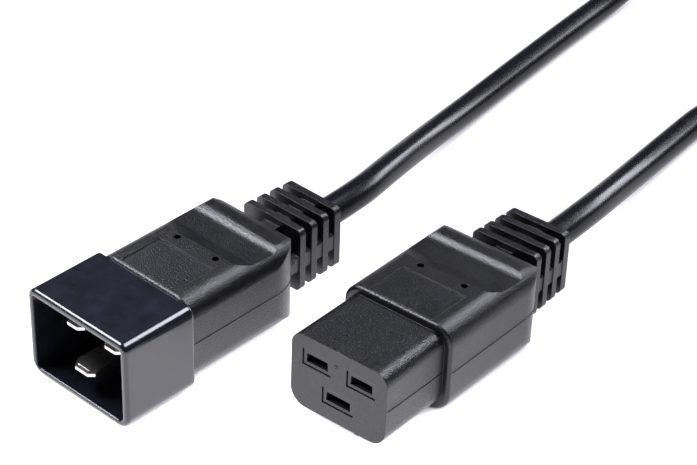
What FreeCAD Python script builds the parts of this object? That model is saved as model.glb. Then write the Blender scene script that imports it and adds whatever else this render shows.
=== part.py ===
import FreeCAD, Part
import math
import os
import re

import Sketcher

# A mains lead for data-centre power: a C19 connector at one end, a C20 plug at the other,
# and one round sheathed cord between them.  Millimetres, +Z up, the lead lying on z = 0.
#
# Each connector is drawn in a frame of its own: its mating face in the plane y = 0, the cord's
# axis along +Y through x = z = 0.  Its Placement then sets it down on the surface.

SIZES = [
    # the moulded body, the same at both ends
    ("body_width", 31.8, "overmould body of the connector, across"),
    ("plug_body_width", 31.2, "overmould body of the plug, across"),
    ("body_height", 24.0, "overmould body, bottom to top"),
    ("cord_drop", 0.4, "cord's axis below the middle of the body"),
    ("body_length", 39.8, "overmould body, front ring to rear face"),
    ("body_top_round", 5.0, "long top edges of the body"),
    ("body_bottom_round", 5.5, "long bottom edges of the body"),
    ("body_rear_corner", 9.0, "rear corners of the connector seen from above"),
    ("plug_body_rear_corner", 10.8, "rear corners of the plug seen from above"),
    ("body_rear_fall", 1.0, "how far the top falls towards the rear top edge"),
    ("body_rear_top_round", 6.0, "rear top edge seen from the side"),
    ("body_rear_bottom_round", 3.0, "rear bottom edge seen from the side"),
    ("body_front_edge", 0.9, "edge of the ring that the hand pushes on"),
    # thumb recess across the top of the body
    ("recess_start", 18.6, "crease, back from the front ring"),
    ("recess_ramp", 3.6, "length of the ramp behind the crease"),
    ("recess_ramp_depth", 1.0, "depth at the foot of the ramp"),
    ("recess_length", 11.9, "crease to the heel of the recess"),
    ("recess_depth", 1.3, "depth at the heel"),
    ("recess_heel_round", 3.0, "hollow curve that rises behind the heel"),
    ("recess_foot_round", 3.0, "hollow curve at the foot of the ramp"),
    ("recess_rise_angle", 55.0, "slope of the rise, degrees"),
    # bare marking field and the two marks of the mould's pins
    ("field_width", 18.0, "marking field, across"),
    ("field_length", 12.4, "marking field, along the cord"),
    ("field_setback", 1.3, "front ring to the field"),
    ("field_depth", 0.3, "sunk depth of the field"),
    ("pin_mark_spacing", 13.0, "between the two pin marks"),
    ("pin_mark_setback", 17.1, "front ring to the pin marks"),
    ("pin_mark_diameter", 1.8, "each pin mark"),
    ("pin_mark_depth", 2.0, "each pin mark"),
    # strain relief behind the body
    ("relief_gap", 3.0, "body to the first plate"),
    ("plate_pitch", 4.34, "front face to front face of the plates"),
    ("plate_thickness", 1.9, "the three front plates"),
    ("end_plate_thickness", 2.1, "the last plate"),
    ("plate_width", 19.5, "first plate, across"),
    ("plate_height", 18.1, "first plate, bottom to top"),
    ("plate_width_step", 0.45, "how much narrower each plate is than the one before"),
    ("plate_height_step", 0.14, "how much lower each plate is than the one before"),
    ("plate_top_round", 1.6, "top corners of a plate"),
    ("plate_bottom_round", 1.6, "bottom corners of a plate"),
    ("relief_core_width", 12.6, "core that the slots are cut down to, across"),
    ("relief_core_height", 11.0, "the same, bottom to top"),
    ("relief_core_round", 3.5, "corners of the core"),
    ("side_rib_height", 4.0, "rib along each side of the slots"),
    ("side_rib_drop", 0.7, "middle of the side rib below the axis"),
    ("side_rib_setback", 0.15, "side rib inside the ends of the plates"),
    ("top_rib_width", 5.0, "rib along the top and bottom of the slots"),
    ("top_rib_setback", 1.7, "top rib below the edges of the plates"),
    ("collar_diameter", 9.5, "collar round the cord"),
    ("collar_length", 1.2, "collar behind the last plate"),
    # C19 nose
    ("nose_width", 28.0, "nose, across"),
    ("nose_height", 20.2, "nose, bottom to top"),
    ("nose_length", 21.1, "nose, mating face to front ring"),
    ("nose_top_round", 3.4, "long top edges of the nose"),
    ("nose_bottom_round", 4.4, "long bottom edges of the nose"),
    # where the three poles lie
    ("pole_spacing", 13.0, "between line and neutral"),
    ("pole_rise", 4.2, "line and neutral above the middle of the nose"),
    ("earth_drop", 8.0, "earth below line and neutral"),
    ("plug_pole_drop", 0.4, "blades below the slots that they fit, within the nose's play"),
    # C20 blades, and the play that the C19 slots give them
    ("blade_width", 6.0, "line and neutral blades, across"),
    ("earth_blade_width", 6.8, "earth blade, across"),
    ("blade_thickness", 2.0, "every blade"),
    ("blade_setback", 4.3, "shroud rim to the tips of line and neutral"),
    ("earth_blade_setback", 1.0, "shroud rim to the tip of earth"),
    ("blade_tip_bevel", 0.6, "bevel of a blade's tip, seen from the side"),
    ("blade_tip_corner", 1.3, "bevel of a blade's tip, seen from above"),
    ("slot_play_across", 0.35, "slot wider than its blade"),
    ("slot_play_up", 0.5, "slot higher than its blade"),
    # contact carrier of the C19
    ("spout_rim", 1.05, "wall of a spout round its slot"),
    ("spout_length", 2.2, "mating face to the carrier block"),
    ("carrier_width", 24.0, "carrier block, across"),
    ("carrier_height", 16.4, "carrier block, bottom to top"),
    ("carrier_round", 2.0, "long edges of the carrier block"),
    ("carrier_length", 21.8, "carrier block, along the cord"),
    ("carrier_rear_wall", 4.0, "wall behind the chambers"),
    ("chamber_margin", 1.1, "chamber beyond its slot, each way"),
    # receptacle contacts
    ("strip_thickness", 0.6, "brass strip that the contacts are folded from"),
    ("contact_play", 0.15, "contact to its chamber, each way"),
    ("contact_setback", 0.8, "carrier front to the mouth of a contact"),
    ("contact_grip", 1.7, "free height between the leaves where they grip"),
    ("contact_grip_setback", 3.6, "carrier front to the grip"),
    ("contact_bend_setback", 8.5, "carrier front to where the leaves lie flat"),
    ("contact_mouth", 3.2, "free height between the leaves at the mouth"),
    ("strap_width", 3.0, "strap through the rear wall"),
    ("crimp_length", 6.0, "crimp barrel of a contact or a blade"),
    ("crimp_floor", 1.0, "closed front of the barrel"),
    # C20 shroud
    ("shroud_width", 33.5, "shroud, across"),
    ("shroud_height", 24.1, "shroud, bottom to top"),
    ("shroud_length", 21.1, "shroud, rim to the overmould"),
    ("shroud_depth", 20.4, "rim to the floor of the shroud"),
    ("shroud_top_round", 2.3, "long top edges of the shroud"),
    ("shroud_bottom_round", 3.5, "long bottom edges of the shroud"),
    ("shroud_wall", 1.55, "wall of the shroud"),
    ("shroud_rim_edge", 0.8, "rounded outer edge of the rim"),
    ("spigot_width", 26.0, "foot of the shroud inside the overmould, across"),
    ("spigot_height", 17.0, "foot of the shroud, bottom to top"),
    ("spigot_length", 3.3, "foot of the shroud, along the cord"),
    ("spigot_round", 2.0, "corners of the foot"),
    # cord
    ("cord_diameter", 7.8, "outer sheath"),
    ("core_diameter", 3.0, "insulation of one core, and the crimp barrel"),
    ("conductor_diameter", 1.6, "stranded copper of one core"),
    ("sheath_end", 57.0, "mating face to where the sheath is stripped"),
    # the coil of cord and its tie
    ("coil_radius", 42.0, "axis of the coil to the middle of its turns"),
    ("coil_columns", 3.0, "turns side by side"),
    ("coil_layers", 2.0, "turns one above the other"),
    ("coil_bevel", 2.6, "edges of the coil"),
    ("coil_lead", 28.0, "straight cord at each end of the coil"),
    ("tie_width", 4.8, "tie, along the turns"),
    ("tie_thickness", 1.6, "tie"),
    ("tie_bite", 1.0, "how far the tie draws the turns in"),
    ("tie_angle", 20.0, "where the tie lies on the coil, degrees"),
]

# An edge this near a plane lies in it, in millimetres
TOUCHING = 0.01

# How much of the shorter run beside a corner of the cord's route its arc may take up
ARC_SHARE = 0.45

# Where the pieces lie on the surface
C20_FRONT = FreeCAD.Vector(-51.78, -71.76, 12.24)
C20_TURN = FreeCAD.Rotation(-3.53, 0.67, 1.52)
COIL_PLACE = FreeCAD.Vector(-0.3, 234.8, 0)
COIL_IN_ANGLE = -45.0
COIL_OUT_ANGLE = 150.0

doc = FreeCAD.newDocument("MainsLead")
sizes = doc.addObject("Spreadsheet::Sheet", "Sizes")
sizes.Label = "Sizes"
for row, (alias, number, note) in enumerate(SIZES, start=1):
    sizes.set("A%d" % row, alias)
    sizes.set("B%d" % row, str(number))
    sizes.setAlias("B%d" % row, alias)
    sizes.set("C%d" % row, note)
doc.recompute()
ALIASES = {alias for alias, _, _ in SIZES}


def value(expression):
    """The number that an expression of sheet sizes has now."""
    return float(sizes.evalExpression(expression))


def linked(expression):
    """The same expression as another object of the document writes it."""
    return re.sub(r"[a-z]\w*",
                  lambda word: ("Sizes." if word.group() in ALIASES else "") + word.group(),
                  expression)


def bind(thing, path, expression):
    """Tie one property to sheet sizes."""
    thing.setExpression(path, linked(expression))


# ---------------------------------------------------------------- sketches and features

def new_body(label):
    body = doc.addObject("PartDesign::Body", label)
    body.Label = label
    return body


def sketch_on(body, role, offset="0"):
    """Sketch on one of the body's own planes, moved along +Y (XZ), +X (YZ) or +Z (XY)."""
    plane = next(item for item in body.Origin.OriginFeatures if item.Role == role)
    sketch = body.newObject("Sketcher::SketchObject", body.Label + "_sketch")
    sketch.AttachmentSupport = (plane, [""])
    sketch.MapMode = "FlatFace"
    sign = "-1" if role == "XZ_Plane" else "1"
    bind(sketch, ".AttachmentOffset.Base.z", "%s * (%s)" % (sign, offset))
    return sketch


def dimension(sketch, kind, place, expression):
    """Driving dimension of a sketch, tied to the sheet."""
    index = sketch.addConstraint(Sketcher.Constraint(kind, *place, value(expression)))
    bind(sketch, "Constraints[%d]" % index, expression)


def fix_point(sketch, geometry, position, across, up):
    dimension(sketch, "DistanceX", (-1, 1, geometry, position), across)
    dimension(sketch, "DistanceY", (-1, 1, geometry, position), up)


def outline(sketch, corners):
    """Closed outline with a corner at each (across, up, radius); radius None stays sharp."""
    points = [FreeCAD.Vector(value(across), value(up), 0) for across, up, _ in corners]
    count = len(points)
    leave = []
    arrive = []
    arcs = []
    for index, (_, _, radius) in enumerate(corners):
        corner = points[index]
        back = (points[index - 1] - corner).normalize()
        ahead = (points[(index + 1) % count] - corner).normalize()
        if radius is None:
            arrive.append(corner)
            leave.append(corner)
            arcs.append(None)
            continue
        half = back.getAngle(ahead) / 2
        reach = value(radius) / math.tan(half)
        arrive.append(corner + back * reach)
        leave.append(corner + ahead * reach)
        middle = corner + (back + ahead).normalize() * (value(radius) / math.sin(half))
        arcs.append((middle, value(radius), back.cross(ahead).z < 0))
    first = sketch.GeometryCount
    for index in range(count):
        sketch.addGeometry(Part.LineSegment(leave[index], arrive[(index + 1) % count]), False)
    for index, (across, up, radius) in enumerate(corners):
        before = first + (index - 1) % count
        after = first + index
        if radius is None:
            sketch.addConstraint(Sketcher.Constraint("Coincident", before, 2, after, 1))
            fix_point(sketch, after, 1, across, up)
            continue
        middle, length, turns_left = arcs[index]
        begin, finish = (arrive[index], leave[index]) if turns_left else (leave[index], arrive[index])
        circle = Part.Circle(middle, FreeCAD.Vector(0, 0, 1), length)
        angles = [math.atan2(end.y - middle.y, end.x - middle.x) for end in (begin, finish)]
        arc = sketch.addGeometry(Part.ArcOfCircle(circle, *angles), False)
        point = sketch.addGeometry(Part.Point(points[index]), True)
        fix_point(sketch, point, 1, across, up)
        sketch.addConstraint(Sketcher.Constraint("PointOnObject", point, 1, before))
        sketch.addConstraint(Sketcher.Constraint("PointOnObject", point, 1, after))
        ends = (1, 2) if turns_left else (2, 1)
        sketch.addConstraint(Sketcher.Constraint("Tangent", before, 2, arc, ends[0]))
        sketch.addConstraint(Sketcher.Constraint("Tangent", after, 1, arc, ends[1]))
        dimension(sketch, "Radius", (arc,), radius)


def rectangle(sketch, width, height, top=None, bottom=None, across="0", up="0"):
    """Rectangle about a centre, with its top and bottom corners rounded."""
    right = "%s + (%s) / 2" % (across, width)
    left = "%s - (%s) / 2" % (across, width)
    high = "%s + (%s) / 2" % (up, height)
    low = "%s - (%s) / 2" % (up, height)
    outline(sketch, [(left, low, bottom), (right, low, bottom), (right, high, top), (left, high, top)])


def circle(sketch, diameter, across="0", up="0"):
    centre = FreeCAD.Vector(value(across), value(up), 0)
    ring = Part.Circle(centre, FreeCAD.Vector(0, 0, 1), value(diameter) / 2)
    index = sketch.addGeometry(ring, False)
    fix_point(sketch, index, 3, across, up)
    dimension(sketch, "Radius", (index,), "(%s) / 2" % diameter)


def grow(body, sketch, length, both_ways=False):
    """Pad a sketch: along +Y from an XZ plane, along its normal from the others."""
    feature = body.newObject("PartDesign::Pad", body.Label + "_pad")
    feature.Profile = sketch
    feature.Reversed = "XZ" in sketch.AttachmentSupport[0][0].Role and not both_ways
    feature.Midplane = both_ways
    bind(feature, "Length", length)
    doc.recompute()
    return feature


def sink(body, sketch, length, both_ways=False):
    """Cut a sketch away: along +Y from an XZ plane, against the normal from the others."""
    before = body.Shape.Volume
    feature = body.newObject("PartDesign::Pocket", body.Label + "_pocket")
    feature.Profile = sketch
    feature.Midplane = both_ways
    bind(feature, "Length", length)
    doc.recompute()
    if not body.Shape.Volume < before:
        raise ValueError("%s of %s cuts nothing" % (feature.Name, body.Label))
    return feature


def slant(body, kind, diameter, start, finish, start_at, finish_at):
    """Round core that runs from one place across the cord to another; the ends face the cord."""
    sections = []
    for (across, up), along in ((start, start_at), (finish, finish_at)):
        section = sketch_on(body, "XZ_Plane", along)
        circle(section, diameter, across, up)
        sections.append(section)
    feature = body.newObject("PartDesign::" + kind, body.Label + "_slant")
    feature.Profile = sections[0]
    feature.Sections = [sections[1]]
    feature.Ruled = True
    doc.recompute()
    return feature


def edges_where(shape, test):
    """Names of the edges of a shape that pass a test of their bounding box."""
    return ["Edge%d" % number for number, edge in enumerate(shape.Edges, start=1) if test(edge.BoundBox)]


def dress(body, kind, base, edges, size_name, size):
    """Fillet or chamfer the named edges."""
    feature = body.newObject("PartDesign::" + kind, body.Label + "_edge")
    feature.Base = (base, edges)
    bind(feature, size_name, size)
    doc.recompute()
    return feature


# ---------------------------------------------------------------- poles

class Pole:
    """One of the three ways through a connector: where it lies and how wide its blade is."""

    def __init__(self, name, side, rise, width, setback):
        self.name = name
        self.across = "%d * pole_spacing / 2" % side
        self.up = rise if side else rise + " - earth_drop"
        self.width = width
        self.setback = setback
        # the three cores touch one another where they leave the sheath
        self.in_sheath = ("%d * core_diameter / 2" % side,
                          "core_diameter / 2 / sqrt(3)" if side else "-1 * core_diameter / sqrt(3)")


def poles(live_side, rise):
    return [Pole("live", live_side, rise, "blade_width", "blade_setback"),
            Pole("neutral", -live_side, rise, "blade_width", "blade_setback"),
            Pole("earth", 0, rise, "earth_blade_width", "earth_blade_setback")]


C19_POLES = poles(-1, "cord_drop + pole_rise")
C20_POLES = poles(1, "pole_rise - plug_pole_drop")
CARRIER_END = "(spout_length + carrier_length)"
SHROUD_END = "(shroud_length + spigot_length)"


# ---------------------------------------------------------------- the two overmoulds

def corner_cutter(rear, side, surface, radius, fall="0"):
    """Outline of what the rounding of one rear corner takes off; side is 1 or -1."""
    before = "%s - 2 * %s" % (rear, radius)
    corner = "%s - %d * %s" % (surface, side, fall)
    behind = "%s + %s" % (rear, radius)
    outside = "%s + %d * %s" % (surface, side, radius)
    inside = "%s - %d * (%s + %s / 4)" % (corner, side, radius, radius)
    return [(surface, before, None), (outside, before, None), (outside, behind, None),
            (inside, behind, None), (inside, rear, None), (corner, rear, radius)]


def side_rib_outline(rear):
    """The side ribs seen from above: they narrow with the plates from the body to the last one."""
    wide = "(plate_width / 2 - side_rib_setback)"
    narrow = "((plate_width - 3 * plate_width_step) / 2 - side_rib_setback)"
    start = "%s - body_rear_bottom_round / 2" % rear
    finish = "%s + relief_gap + 3 * plate_pitch" % rear
    return [("-1 * " + wide, start, None), (wide, start, None),
            (narrow, finish, None), ("-1 * " + narrow, finish, None)]


def overmould(label, front, width, corner):
    """Body, thumb recess, marking field and slotted strain relief, in one piece of soft PVC."""
    rear = "(%s + body_length)" % front
    top = "(cord_drop + body_height / 2)"
    bottom = "(cord_drop - body_height / 2)"
    body = new_body(label)

    section = sketch_on(body, "XZ_Plane", front)
    rectangle(section, width, "body_height", "body_top_round", "body_bottom_round", up="cord_drop")
    block = grow(body, section, "body_length")
    plane = value(front)
    ring = edges_where(block.Shape, lambda box: box.YMax < plane + TOUCHING)
    dress(body, "Fillet", block, ring, "Radius", "body_front_edge")

    # rear corners, rounded in plan and then from the side
    plan = sketch_on(body, "XY_Plane")
    for side in (1, -1):
        outline(plan, corner_cutter(rear, side, "%d * %s / 2" % (side, width), corner))
    sink(body, plan, "4 * body_height", both_ways=True)
    side_view = sketch_on(body, "YZ_Plane")
    for cutter in (corner_cutter(rear, 1, top, "body_rear_top_round", "body_rear_fall"),
                   corner_cutter(rear, -1, bottom, "body_rear_bottom_round")):
        outline(side_view, [(along, up, radius) for up, along, radius in cutter])
    sink(body, side_view, "2 * body_width", both_ways=True)

    # thumb recess: crease, ramp, shallow floor and a hollow rise behind the heel
    crease = "%s + recess_start" % front
    heel = "%s + recess_length" % crease
    clear = "(%s + recess_depth)" % top
    recess = sketch_on(body, "YZ_Plane")
    outline(recess, [(crease, top, None),
                     (crease + " + recess_ramp", top + " - recess_ramp_depth", "recess_foot_round"),
                     (heel, top + " - recess_depth", "recess_heel_round"),
                     (heel + " + 2 * recess_depth / tan(recess_rise_angle * 1deg)", clear, None),
                     (crease, clear, None)])
    sink(body, recess, "2 * body_width", both_ways=True)

    field = sketch_on(body, "XY_Plane", top)
    rectangle(field, "field_width", "field_length", up="%s + field_setback + field_length / 2" % front)
    sink(body, field, "field_depth")
    marks = sketch_on(body, "XY_Plane", top)
    for side in ("1", "-1"):
        circle(marks, "pin_mark_diameter", side + " * pin_mark_spacing / 2", "%s + pin_mark_setback" % front)
    sink(body, marks, "pin_mark_depth")

    # strain relief: core, four plates, ribs that tie them together, and the collar
    first_plate = "(%s + relief_gap)" % rear
    last_plate = "(%s + 3 * plate_pitch)" % first_plate
    relief_end = "(%s + end_plate_thickness)" % last_plate
    root = "(%s - body_rear_top_round)" % rear
    core = sketch_on(body, "XZ_Plane", root)
    rectangle(core, "relief_core_width", "relief_core_height", "relief_core_round", "relief_core_round")
    grow(body, core, "%s - %s" % (last_plate, root))
    for number in range(4):
        plate = sketch_on(body, "XZ_Plane", "%s + %d * plate_pitch" % (first_plate, number))
        rectangle(plate, "plate_width - %d * plate_width_step" % number,
                  "plate_height - %d * plate_height_step" % number, "plate_top_round", "plate_bottom_round")
        grow(body, plate, "end_plate_thickness" if number == 3 else "plate_thickness")
    side_rib = sketch_on(body, "XY_Plane", "-1 * side_rib_drop")
    outline(side_rib, side_rib_outline(rear))
    grow(body, side_rib, "side_rib_height", both_ways=True)
    top_rib = sketch_on(body, "XZ_Plane", root)
    rectangle(top_rib, "top_rib_width", "plate_height - 3 * plate_height_step - 2 * top_rib_setback")
    grow(body, top_rib, "%s - %s" % (last_plate, root))
    collar = sketch_on(body, "XZ_Plane", relief_end)
    circle(collar, "collar_diameter")
    grow(body, collar, "collar_length")
    cord = sketch_on(body, "XZ_Plane", "sheath_end")
    circle(cord, "cord_diameter")
    sink(body, cord, "%s + collar_length - sheath_end" % relief_end)
    return body


def core_ways(body, ways, crimp_start):
    """Bores that the crimp barrels and the cores fill, from the carrier to the sheath."""
    for way in ways:
        barrel = sketch_on(body, "XZ_Plane", crimp_start)
        circle(barrel, "core_diameter", way.across, way.up)
        sink(body, barrel, "crimp_length")
        slant(body, "SubtractiveLoft", "core_diameter", (way.across, way.up), way.in_sheath,
              crimp_start + " + crimp_length", "sheath_end")


def c19_overmould():
    body = overmould("c19_overmould", "nose_length", "body_width", "body_rear_corner")
    nose = sketch_on(body, "XZ_Plane")
    rectangle(nose, "nose_width", "nose_height", "nose_top_round", "nose_bottom_round", up="cord_drop")
    grow(body, nose, "nose_length + body_front_edge")
    for way in C19_POLES:
        spout = sketch_on(body, "XZ_Plane")
        rectangle(spout, way.width + " + slot_play_across + 2 * spout_rim",
                  "blade_thickness + slot_play_up + 2 * spout_rim", across=way.across, up=way.up)
        sink(body, spout, "spout_length")
    carrier = sketch_on(body, "XZ_Plane", "spout_length")
    rectangle(carrier, "carrier_width", "carrier_height", "carrier_round", "carrier_round", up="cord_drop")
    sink(body, carrier, "carrier_length")
    core_ways(body, C19_POLES, CARRIER_END)
    return body


def c20_overmould():
    body = overmould("c20_overmould", "shroud_length", "plug_body_width", "plug_body_rear_corner")
    spigot = sketch_on(body, "XZ_Plane", "shroud_length")
    rectangle(spigot, "spigot_width", "spigot_height", "spigot_round", "spigot_round")
    sink(body, spigot, "spigot_length")
    core_ways(body, C20_POLES, SHROUD_END)
    return body


# ---------------------------------------------------------------- inside the C19

def c19_carrier():
    """Hard carrier: a block with a chamber for each contact, and a spout to the mating face."""
    body = new_body("c19_contact_carrier")
    block = sketch_on(body, "XZ_Plane", "spout_length")
    rectangle(block, "carrier_width", "carrier_height", "carrier_round", "carrier_round", up="cord_drop")
    grow(body, block, "carrier_length")
    for way in C19_POLES:
        slot_width = way.width + " + slot_play_across"
        slot_height = "blade_thickness + slot_play_up"
        spout = sketch_on(body, "XZ_Plane")
        rectangle(spout, slot_width + " + 2 * spout_rim", slot_height + " + 2 * spout_rim",
                  across=way.across, up=way.up)
        grow(body, spout, "spout_length")
        slot = sketch_on(body, "XZ_Plane")
        rectangle(slot, slot_width, slot_height, across=way.across, up=way.up)
        sink(body, slot, "spout_length + strip_thickness")
        chamber = sketch_on(body, "XZ_Plane", "spout_length + strip_thickness")
        rectangle(chamber, slot_width + " + 2 * chamber_margin", slot_height + " + 2 * chamber_margin",
                  across=way.across, up=way.up)
        sink(body, chamber, "carrier_length - strip_thickness - carrier_rear_wall")
        strap = sketch_on(body, "XZ_Plane", CARRIER_END + " - carrier_rear_wall")
        rectangle(strap, "strap_width", "strip_thickness", across=way.across, up=way.up)
        sink(body, strap, "carrier_rear_wall")
    return body


def crimp(body, way, start):
    """Barrel closed round the stripped conductor, with a closed front."""
    barrel = sketch_on(body, "XZ_Plane", start)
    circle(barrel, "core_diameter", way.across, way.up)
    grow(body, barrel, "crimp_length")
    bore = sketch_on(body, "XZ_Plane", start + " + crimp_floor")
    circle(bore, "conductor_diameter", way.across, way.up)
    sink(body, bore, "crimp_length - crimp_floor")


def c19_contact(way):
    """Receptacle folded from brass strip: two sprung leaves, a web, a strap and a crimp barrel."""
    body = new_body("c19_%s_contact" % way.name)
    front = "spout_length + strip_thickness"
    web_end = "(%s - carrier_rear_wall)" % CARRIER_END
    web_start = "(%s - strip_thickness)" % web_end
    half = "(blade_thickness / 2 + slot_play_up / 2 + chamber_margin - contact_play)"
    stations = [(front + " + contact_setback", "contact_mouth / 2"),
                (front + " + contact_grip_setback", "contact_grip / 2"),
                (front + " + contact_bend_setback", half + " - strip_thickness"),
                (web_start, half + " - strip_thickness")]
    # one closed run: along the inside of the fold, then back along its outside
    inside = [(along, "%s + %s" % (way.up, height), None) for along, height in stations]
    inside += [(along, "%s - (%s)" % (way.up, height), None) for along, height in reversed(stations)]
    outside = [(along, "%s - (%s + strip_thickness)" % (way.up, height), None)
               for along, height in stations[:3]]
    outside.append((web_end, "%s - %s" % (way.up, half), None))
    outside.append((web_end, "%s + %s" % (way.up, half), None))
    outside += [(along, "%s + %s + strip_thickness" % (way.up, height), None)
                for along, height in reversed(stations[:3])]
    shape = sketch_on(body, "YZ_Plane", way.across)
    outline(shape, inside + outside)
    grow(body, shape, way.width + " + slot_play_across + 2 * chamber_margin - 2 * contact_play",
         both_ways=True)
    strap = sketch_on(body, "XZ_Plane", web_end)
    rectangle(strap, "strap_width", "strip_thickness", across=way.across, up=way.up)
    grow(body, strap, "carrier_rear_wall")
    crimp(body, way, CARRIER_END)
    return body


# ---------------------------------------------------------------- the C20's hard pieces

def c20_shroud():
    """Glossy shroud open to the front, with a floor that the blades pass through."""
    body = new_body("c20_shroud")
    outer = sketch_on(body, "XZ_Plane")
    rectangle(outer, "shroud_width", "shroud_height", "shroud_top_round", "shroud_bottom_round")
    shell = grow(body, outer, "shroud_length")
    rim = edges_where(shell.Shape, lambda box: box.YMax < TOUCHING)
    dress(body, "Fillet", shell, rim, "Radius", "shroud_rim_edge")
    spigot = sketch_on(body, "XZ_Plane", "shroud_length")
    rectangle(spigot, "spigot_width", "spigot_height", "spigot_round", "spigot_round")
    grow(body, spigot, "spigot_length")
    cavity = sketch_on(body, "XZ_Plane")
    rectangle(cavity, "shroud_width - 2 * shroud_wall", "shroud_height - 2 * shroud_wall",
              "max(0.3; shroud_top_round - shroud_wall)", "max(0.3; shroud_bottom_round - shroud_wall)")
    sink(body, cavity, "shroud_depth")
    for way in C20_POLES:
        blade = sketch_on(body, "XZ_Plane", "shroud_depth")
        rectangle(blade, way.width, "blade_thickness", across=way.across, up=way.up)
        sink(body, blade, SHROUD_END + " - shroud_depth")
    return body


def c20_blade(way):
    """Flat nickel-plated blade with a bevelled tip and a crimp barrel at its root."""
    body = new_body("c20_%s_blade" % way.name)
    flat = sketch_on(body, "XY_Plane", way.up)
    right = "%s + %s / 2" % (way.across, way.width)
    left = "%s - %s / 2" % (way.across, way.width)
    shoulder = "%s + blade_tip_corner" % way.setback
    outline(flat, [(left, SHROUD_END, None), (left, shoulder, None),
                   (left + " + blade_tip_corner", way.setback, None),
                   (right + " - blade_tip_corner", way.setback, None),
                   (right, shoulder, None), (right, SHROUD_END, None)])
    bar = grow(body, flat, "blade_thickness", both_ways=True)
    shoulder_at = value(shoulder)
    tip = edges_where(bar.Shape,
                      lambda box: box.YMax < shoulder_at + TOUCHING and box.ZMax - box.ZMin < TOUCHING)
    dress(body, "Chamfer", bar, tip, "Size", "blade_tip_bevel")
    crimp(body, way, SHROUD_END)
    return body


# ---------------------------------------------------------------- cores and conductors

def core_insulation(end, way, crimp_start):
    """Insulation of one core, from its crimp barrel to the end of the sheath."""
    body = new_body("%s_%s_core" % (end, way.name))
    place = ((way.across, way.up), way.in_sheath, crimp_start + " + crimp_length", "sheath_end")
    slant(body, "AdditiveLoft", "core_diameter", *place)
    slant(body, "SubtractiveLoft", "conductor_diameter", *place)
    return body


def core_conductor(end, way, crimp_start):
    """Stranded copper of one core, from inside its crimp barrel to the end of the sheath."""
    body = new_body("%s_%s_conductor" % (end, way.name))
    bared = sketch_on(body, "XZ_Plane", crimp_start + " + crimp_floor")
    circle(bared, "conductor_diameter", way.across, way.up)
    grow(body, bared, "crimp_length - crimp_floor")
    slant(body, "AdditiveLoft", "conductor_diameter", (way.across, way.up), way.in_sheath,
          crimp_start + " + crimp_length", "sheath_end")
    return body


def wiring(end, ways, crimp_start):
    pieces = []
    for way in ways:
        pieces.append(core_insulation(end, way, crimp_start))
        pieces.append(core_conductor(end, way, crimp_start))
    return pieces


# ---------------------------------------------------------------- setting the connectors down

C19_FRONT = value("(nose_length + body_length + relief_gap + 3 * plate_pitch"
                  " + end_plate_thickness + collar_length) / -2")
C19_AXIS = value("body_height / 2 - cord_drop")
C19_SEAT = FreeCAD.Placement(FreeCAD.Vector(0, C19_FRONT, C19_AXIS), FreeCAD.Rotation())
C20_SEAT = FreeCAD.Placement(C20_FRONT, C20_TURN)

c19_pieces = [c19_overmould(), c19_carrier()]
c19_pieces += [c19_contact(way) for way in C19_POLES]
c19_pieces += wiring("c19", C19_POLES, CARRIER_END)
c20_pieces = [c20_overmould(), c20_shroud()]
c20_pieces += [c20_blade(way) for way in C20_POLES]
c20_pieces += wiring("c20", C20_POLES, SHROUD_END)
for piece in c19_pieces:
    piece.Placement = C19_SEAT
for piece in c20_pieces:
    piece.Placement = C20_SEAT


# ---------------------------------------------------------------- the coil and its tie

def coil_end(angle, level, way):
    """Foot and direction of the straight cord that joins the coil's outer turn."""
    radius = value("coil_radius + cord_diameter * (coil_columns - 1) / 2")
    spoke = FreeCAD.Vector(math.cos(math.radians(angle)), math.sin(math.radians(angle)), 0)
    along = FreeCAD.Vector(-spoke.y, spoke.x, 0) * way
    foot = spoke * radius + FreeCAD.Vector(0, 0, value("cord_diameter * (%s)" % level))
    return foot, along


def stub(angle, level, way):
    """Straight length of cord from the outer turn out to where the free cord begins."""
    foot, along = coil_end(angle, level, way)
    rod = doc.addObject("Part::Cylinder", "coil_lead")
    bind(rod, "Radius", "cord_diameter / 2")
    bind(rod, "Height", "coil_lead")
    rod.Placement = FreeCAD.Placement(foot, FreeCAD.Rotation(FreeCAD.Vector(0, 0, 1), along))
    return rod


def tie_bar(name, extra, low, high):
    """Block across the bundle where the tie lies, wider than the bundle by extra."""
    bar = doc.addObject("Part::Box", name)
    bind(bar, "Length", "coil_columns * cord_diameter + 2 * (%s)" % extra)
    bind(bar, "Width", "tie_width")
    bind(bar, "Height", "(%s) - (%s)" % (high, low))
    turn = FreeCAD.Rotation(FreeCAD.Vector(0, 0, 1), value("tie_angle"))
    corner = FreeCAD.Vector(value("coil_radius - coil_columns * cord_diameter / 2 - (%s)" % extra),
                            value("tie_width / -2"), value(low))
    bar.Placement = FreeCAD.Placement(turn.multVec(corner), turn)
    return bar


def combine(kind, label, *members):
    """Part boolean of whole objects."""
    result = doc.addObject("Part::" + kind, label)
    if kind == "MultiFuse":
        result.Shapes = list(members)
    else:
        result.Base, result.Tool = members
    result.Label = label
    return result


def bevelled(middle, half_width, half_height, bevel):
    """Section of the bundle of turns: a rectangle standing on the surface, its corners bevelled."""
    corners = []
    for side, level in ((1, -1), (1, 1), (-1, 1), (-1, -1)):
        edge = "%s + %d * (%s)" % (middle, side, half_width)
        flat = "%s + %d * (%s)" % (half_height, level, half_height)
        beside = (edge, "%s - %d * %s" % (flat, level, bevel), None)
        above = ("%s - %d * %s" % (edge, side, bevel), flat, None)
        corners += [above, beside] if side == level * -1 else [beside, above]
    return corners


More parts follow.
